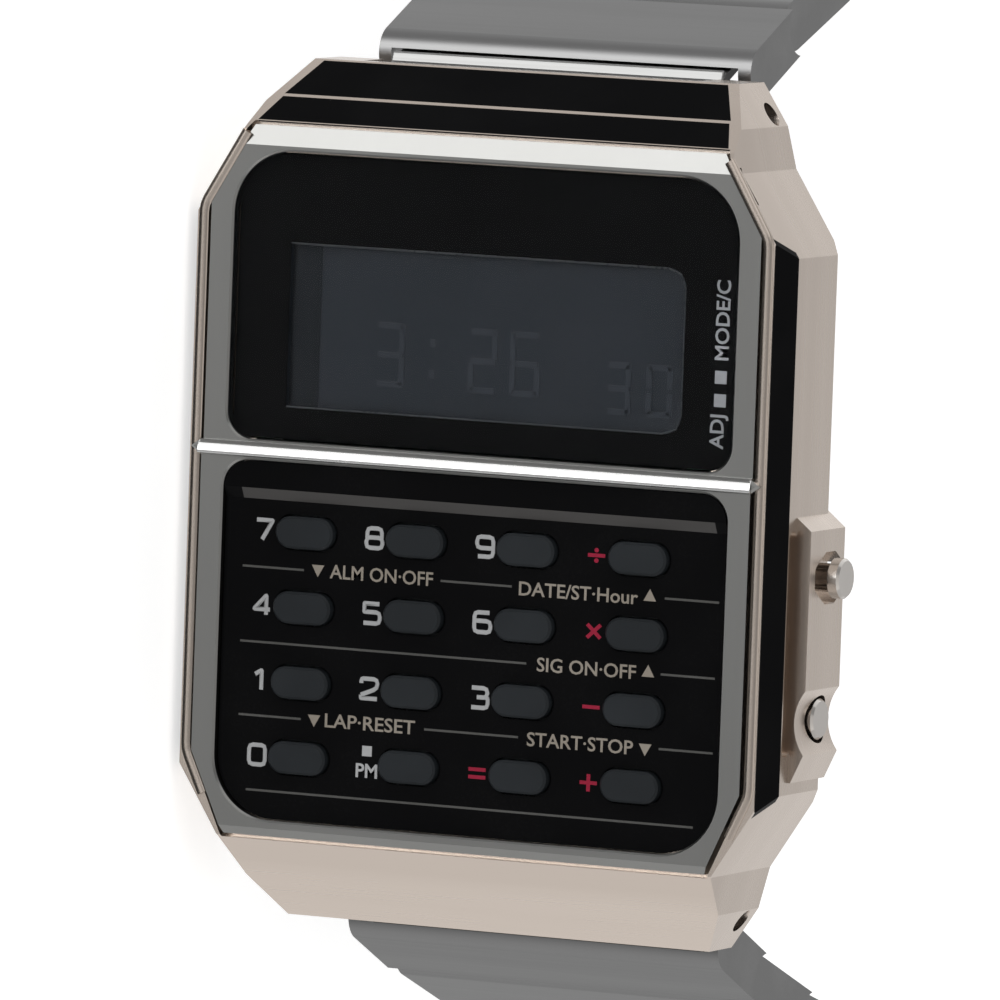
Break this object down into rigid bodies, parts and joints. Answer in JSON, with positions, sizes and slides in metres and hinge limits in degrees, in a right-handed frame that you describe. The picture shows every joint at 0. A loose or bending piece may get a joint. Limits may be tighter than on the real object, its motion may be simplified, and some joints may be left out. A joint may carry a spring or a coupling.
{
  "type": "calculator watch",
  "caption": "Digital calculator watch: plated rectangular case, keypad below the display, two push buttons and a folded-link steel bracelet, its sliding fold-over clasp undone.",
  "frame": {"origin": "centre of the case back's outer face", "axes": "+Y out of the case back towards the wrist, -X towards 12 o'clock, +Z towards 3 o'clock"},
  "size_m": [0.0681, 0.0827, 0.0344],
  "materials": {
    "case_plating": "plated, satin",
    "face_metal": "fine brushed",
    "black_gloss": "gloss",
    "window": "polished",
    "display": "gloss",
    "display_mask": "matte",
    "key_plate": "satin",
    "key_cap": "satin",
    "rubber": "matte",
    "board": "solder mask",
    "module_resin": "matte",
    "inner_steel": "plain",
    "brass_disc": "plain",
    "back_steel": "circular brushed",
    "bracelet_steel": "long brushed",
    "button_metal": "polished"
  },
  "bodies": {
    "root": {"case_body": "case_plating", "side_inlays": "black_gloss", "upper_inlays": "black_gloss", "face_frame": "face_metal", "display_window": "window", "lcd_panel": "display", "lcd_holder": "display_mask", "contact_strip": "rubber", "key_panel": "key_plate", "key_sheet": "rubber", "circuit_board": "board", "module_frame": "module_resin", "battery": "inner_steel", "battery_clip": "inner_steel", "buzzer_disc": "brass_disc", "case_back": "back_steel", "case_back_gasket": "rubber", "case_back_screws": "inner_steel", "spring_bars": "inner_steel", "mode_spring": "inner_steel", "adjust_spring": "inner_steel", "button_seals": "rubber"},
    "mode_button": {"mode_button": "button_metal"},
    "adjust_button": {"adjust_button": "button_metal"},
    "key_7": {"key_7": "key_cap"},
    "key_8": {"key_8": "key_cap"},
    "key_9": {"key_9": "key_cap"},
    "key_divide": {"key_divide": "key_cap"},
    "key_4": {"key_4": "key_cap"},
    "key_5": {"key_5": "key_cap"},
    "key_6": {"key_6": "key_cap"},
    "key_multiply": {"key_multiply": "key_cap"},
    "key_1": {"key_1": "key_cap"},
    "key_2": {"key_2": "key_cap"},
    "key_3": {"key_3": "key_cap"},
    "key_subtract": {"key_subtract": "key_cap"},
    "key_0": {"key_0": "key_cap"},
    "key_point": {"key_point": "key_cap"},
    "key_equals": {"key_equals": "key_cap"},
    "key_add": {"key_add": "key_cap"},
    "upper_end_link": {"upper_end_link": "bracelet_steel"},
    "upper_link_1": {"upper_link_1": "bracelet_steel"},
    "upper_link_2": {"upper_link_2": "bracelet_steel"},
    "upper_link_3": {"upper_link_3": "bracelet_steel"},
    "upper_link_4": {"upper_link_4": "bracelet_steel"},
    "upper_link_5": {"upper_link_5": "bracelet_steel"},
    "upper_link_6": {"upper_link_6": "bracelet_steel"},
    "clasp_strip": {"clasp_strip": "bracelet_steel"},
    "lower_end_link": {"lower_end_link": "bracelet_steel"},
    "lower_link_1": {"lower_link_1": "bracelet_steel"},
    "lower_link_2": {"lower_link_2": "bracelet_steel"},
    "lower_link_3": {"lower_link_3": "bracelet_steel"},
    "lower_link_4": {"lower_link_4": "bracelet_steel"},
    "lower_link_5": {"lower_link_5": "bracelet_steel"},
    "lower_link_6": {"lower_link_6": "bracelet_steel"},
    "catch_link": {"catch_link": "bracelet_steel"},
    "clasp_slider": {"clasp_slider": "bracelet_steel"},
    "lock_lever": {"lock_lever": "bracelet_steel"},
    "clasp_cover": {"clasp_cover": "bracelet_steel"}
  },
  "joints": [
    {"name": "mode_press", "type": "slide", "parent": "root", "child": "mode_button", "axis": [0, 0, -1], "range_m": [0, 0.0005], "stiffness_N_per_m": 800, "springref_m": -0.0002, "deforming": ["mode_spring"]},
    {"name": "adjust_press", "type": "slide", "parent": "root", "child": "adjust_button", "axis": [0, 0, -1], "range_m": [0, 0.0005], "stiffness_N_per_m": 800, "springref_m": -0.0002, "deforming": ["adjust_spring"]},
    {"name": "key_7_press", "type": "slide", "parent": "root", "child": "key_7", "axis": [0, 1, 0], "range_m": [0, 0.0004], "stiffness_N_per_m": 500, "springref_m": -0.0001},
    {"name": "key_8_press", "type": "slide", "parent": "root", "child": "key_8", "axis": [0, 1, 0], "range_m": [0, 0.0004], "stiffness_N_per_m": 500, "springref_m": -0.0001},
    {"name": "key_9_press", "type": "slide", "parent": "root", "child": "key_9", "axis": [0, 1, 0], "range_m": [0, 0.0004], "stiffness_N_per_m": 500, "springref_m": -0.0001},
    {"name": "key_divide_press", "type": "slide", "parent": "root", "child": "key_divide", "axis": [0, 1, 0], "range_m": [0, 0.0004], "stiffness_N_per_m": 500, "springref_m": -0.0001},
    {"name": "key_4_press", "type": "slide", "parent": "root", "child": "key_4", "axis": [0, 1, 0], "range_m": [0, 0.0004], "stiffness_N_per_m": 500, "springref_m": -0.0001},
    {"name": "key_5_press", "type": "slide", "parent": "root", "child": "key_5", "axis": [0, 1, 0], "range_m": [0, 0.0004], "stiffness_N_per_m": 500, "springref_m": -0.0001},
    {"name": "key_6_press", "type": "slide", "parent": "root", "child": "key_6", "axis": [0, 1, 0], "range_m": [0, 0.0004], "stiffness_N_per_m": 500, "springref_m": -0.0001},
    {"name": "key_multiply_press", "type": "slide", "parent": "root", "child": "key_multiply", "axis": [0, 1, 0], "range_m": [0, 0.0004], "stiffness_N_per_m": 500, "springref_m": -0.0001},
    {"name": "key_1_press", "type": "slide", "parent": "root", "child": "key_1", "axis": [0, 1, 0], "range_m": [0, 0.0004], "stiffness_N_per_m": 500, "springref_m": -0.0001},
    {"name": "key_2_press", "type": "slide", "parent": "root", "child": "key_2", "axis": [0, 1, 0], "range_m": [0, 0.0004], "stiffness_N_per_m": 500, "springref_m": -0.0001},
    {"name": "key_3_press", "type": "slide", "parent": "root", "child": "key_3", "axis": [0, 1, 0], "range_m": [0, 0.0004], "stiffness_N_per_m": 500, "springref_m": -0.0001},
    {"name": "key_subtract_press", "type": "slide", "parent": "root", "child": "key_subtract", "axis": [0, 1, 0], "range_m": [0, 0.0004], "stiffness_N_per_m": 500, "springref_m": -0.0001},
    {"name": "key_0_press", "type": "slide", "parent": "root", "child": "key_0", "axis": [0, 1, 0], "range_m": [0, 0.0004], "stiffness_N_per_m": 500, "springref_m": -0.0001},
    {"name": "key_point_press", "type": "slide", "parent": "root", "child": "key_point", "axis": [0, 1, 0], "range_m": [0, 0.0004], "stiffness_N_per_m": 500, "springref_m": -0.0001},
    {"name": "key_equals_press", "type": "slide", "parent": "root", "child": "key_equals", "axis": [0, 1, 0], "range_m": [0, 0.0004], "stiffness_N_per_m": 500, "springref_m": -0.0001},
    {"name": "key_add_press", "type": "slide", "parent": "root", "child": "key_add", "axis": [0, 1, 0], "range_m": [0, 0.0004], "stiffness_N_per_m": 500, "springref_m": -0.0001},
    {"name": "upper_end_link_hinge", "type": "hinge", "parent": "root", "child": "upper_end_link", "pos_m": [-0.0201, -0.0019, 0], "axis": [0, 0, 1], "range_deg": [0, 40]},
    {"name": "upper_link_1_hinge", "type": "hinge", "parent": "upper_end_link", "child": "upper_link_1", "pos_m": [-0.02413, 0.00654, 0], "axis": [0, 0, 1], "range_deg": [0, 12.5]},
    {"name": "upper_link_2_hinge", "type": "hinge", "parent": "upper_link_1", "child": "upper_link_2", "pos_m": [-0.02671, 0.01326, 0], "axis": [0, 0, 1], "range_deg": [-6, 12]},
    {"name": "upper_link_3_hinge", "type": "hinge", "parent": "upper_link_2", "child": "upper_link_3", "pos_m": [-0.02881, 0.02015, 0], "axis": [0, 0, 1], "range_deg": [-8, 12]},
    {"name": "upper_link_4_hinge", "type": "hinge", "parent": "upper_link_3", "child": "upper_link_4", "pos_m": [-0.03043, 0.02716, 0], "axis": [0, 0, 1], "range_deg": [-12, 12]},
    {"name": "upper_link_5_hinge", "type": "hinge", "parent": "upper_link_4", "child": "upper_link_5", "pos_m": [-0.03156, 0.03427, 0], "axis": [0, 0, 1], "range_deg": [-14, 12]},
    {"name": "upper_link_6_hinge", "type": "hinge", "parent": "upper_link_5", "child": "upper_link_6", "pos_m": [-0.03218, 0.04145, 0], "axis": [0, 0, 1], "range_deg": [-14, 12]},
    {"name": "clasp_strip_hinge", "type": "hinge", "parent": "upper_link_6", "child": "clasp_strip", "pos_m": [-0.03231, 0.04864, 0], "axis": [0, 0, 1], "range_deg": [-33, 12]},
    {"name": "lower_end_link_hinge", "type": "hinge", "parent": "root", "child": "lower_end_link", "pos_m": [0.0201, -0.0019, 0], "axis": [0, 0, -1], "range_deg": [0, 40]},
    {"name": "lower_link_1_hinge", "type": "hinge", "parent": "lower_end_link", "child": "lower_link_1", "pos_m": [0.02413, 0.00654, 0], "axis": [0, 0, -1], "range_deg": [0, 12.5]},
    {"name": "lower_link_2_hinge", "type": "hinge", "parent": "lower_link_1", "child": "lower_link_2", "pos_m": [0.02671, 0.01326, 0], "axis": [0, 0, -1], "range_deg": [-6, 12]},
    {"name": "lower_link_3_hinge", "type": "hinge", "parent": "lower_link_2", "child": "lower_link_3", "pos_m": [0.02881, 0.02015, 0], "axis": [0, 0, -1], "range_deg": [-8, 12]},
    {"name": "lower_link_4_hinge", "type": "hinge", "parent": "lower_link_3", "child": "lower_link_4", "pos_m": [0.03043, 0.02716, 0], "axis": [0, 0, -1], "range_deg": [-12, 12]},
    {"name": "lower_link_5_hinge", "type": "hinge", "parent": "lower_link_4", "child": "lower_link_5", "pos_m": [0.03156, 0.03427, 0], "axis": [0, 0, -1], "range_deg": [-14, 12]},
    {"name": "lower_link_6_hinge", "type": "hinge", "parent": "lower_link_5", "child": "lower_link_6", "pos_m": [0.03218, 0.04145, 0], "axis": [0, 0, -1], "range_deg": [-14, 12]},
    {"name": "catch_link_hinge", "type": "hinge", "parent": "lower_link_6", "child": "catch_link", "pos_m": [0.03231, 0.04864, 0], "axis": [0, 0, -1], "range_deg": [-33, 12]},
    {"name": "clasp_slider_slide", "type": "slide", "parent": "clasp_strip", "child": "clasp_slider", "axis": [-0.0523, -0.9986, 0], "range_m": [0, 0.0026]},
    {"name": "lock_lever_hinge", "type": "hinge", "parent": "clasp_slider", "child": "lock_lever", "pos_m": [-0.03369, 0.05573, 0], "axis": [0, 0, 1], "range_deg": [0, 60]},
    {"name": "clasp_cover_hinge", "type": "hinge", "parent": "clasp_slider", "child": "clasp_cover", "pos_m": [-0.03349, 0.05952, 0], "axis": [0, 0, 1], "range_deg": [0, 90]}
  ]
}
